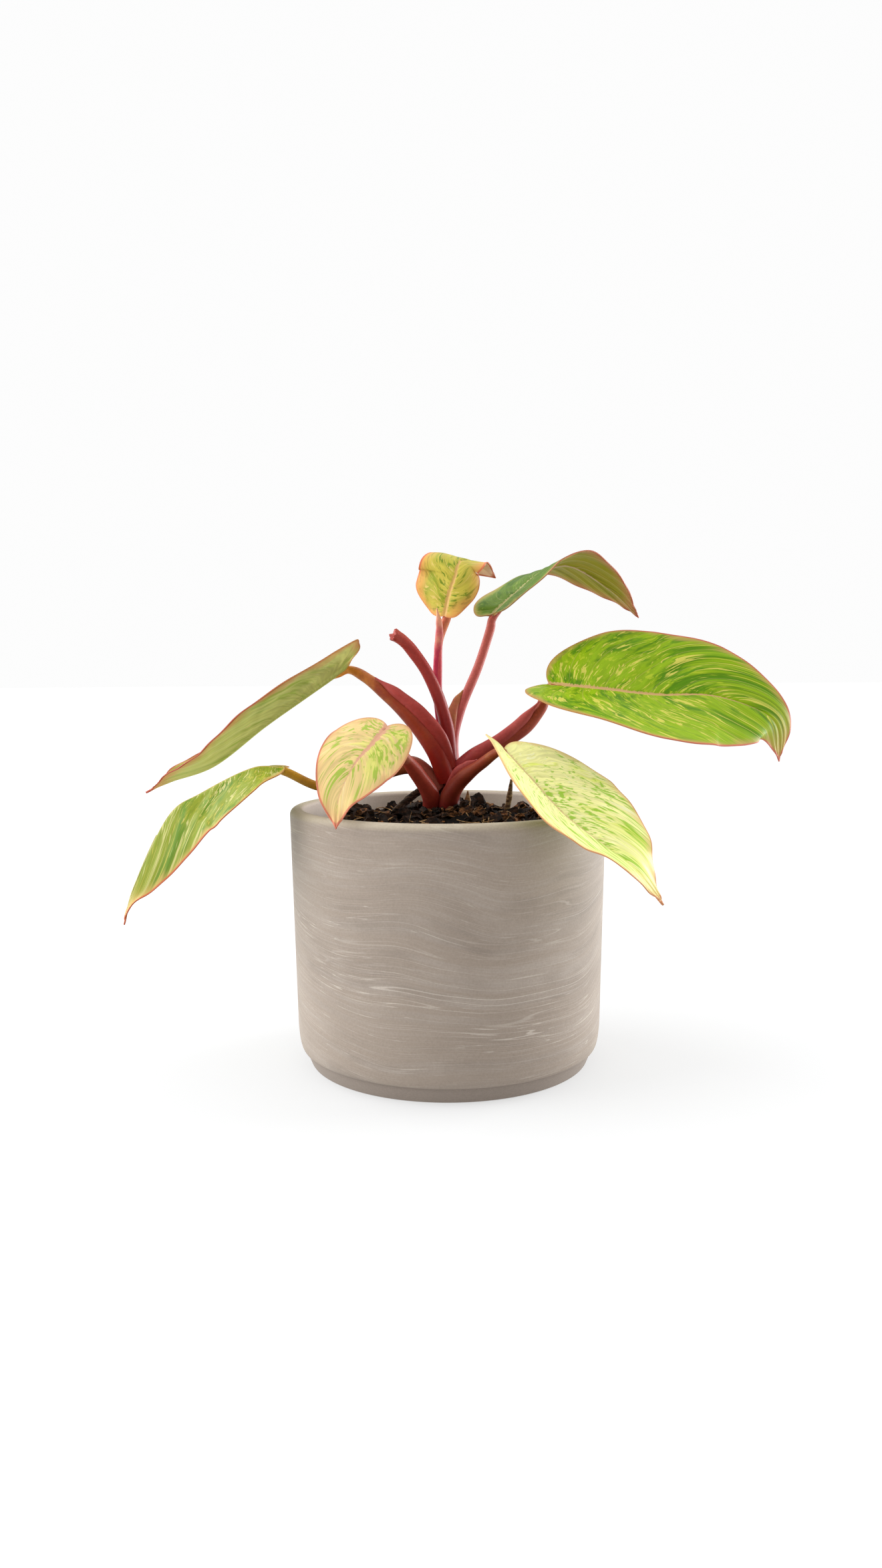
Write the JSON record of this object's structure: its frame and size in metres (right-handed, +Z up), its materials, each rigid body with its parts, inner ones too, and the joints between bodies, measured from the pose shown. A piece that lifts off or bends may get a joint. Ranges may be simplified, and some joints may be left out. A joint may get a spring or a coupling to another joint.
{
  "type": "potted philodendron plant",
  "caption": "Young climbing aroid with long, marbled, heart-shaped leaves on red stalks, growing from dark soil in a round stoneware pot.",
  "frame": {"origin": "middle of the pot's flat underside", "axes": "+Z up out of the pot, +X to the right towards the largest leaf, -Y to the front, where the pale leaf hangs over the rim"},
  "size_m": [0.3132, 0.1595, 0.244],
  "materials": {
    "pot": "matt stoneware with fine wiped streaks",
    "soil": "dark peat and bark",
    "stem": "dull skin",
    "stalk": "smooth waxy skin",
    "stalk_pale": "smooth waxy skin",
    "blade": "satin leaf, marbled",
    "blade_pale": "satin leaf, marbled",
    "blade_peach": "satin leaf, marbled",
    "root": "dull bark",
    "dry": "dry fibre"
  },
  "bodies": {
    "root": {"pot": "pot", "soil": "soil", "stem": "stem", "petiole_1": "stalk", "petiole_2": "stalk_pale", "petiole_3": "stalk", "petiole_4": "stalk", "petiole_5": "stalk_pale", "petiole_6": "stalk", "petiole_7": "stalk", "cut_petiole": "stalk", "blade_1": "blade", "blade_2": "blade", "blade_3": "blade_peach", "blade_4": "blade_peach", "blade_5": "blade", "blade_6": "blade", "blade_7": "blade_pale", "aerial_root": "root", "dry_sheath": "dry", "bract": "dry"}
  },
  "joints": []
}
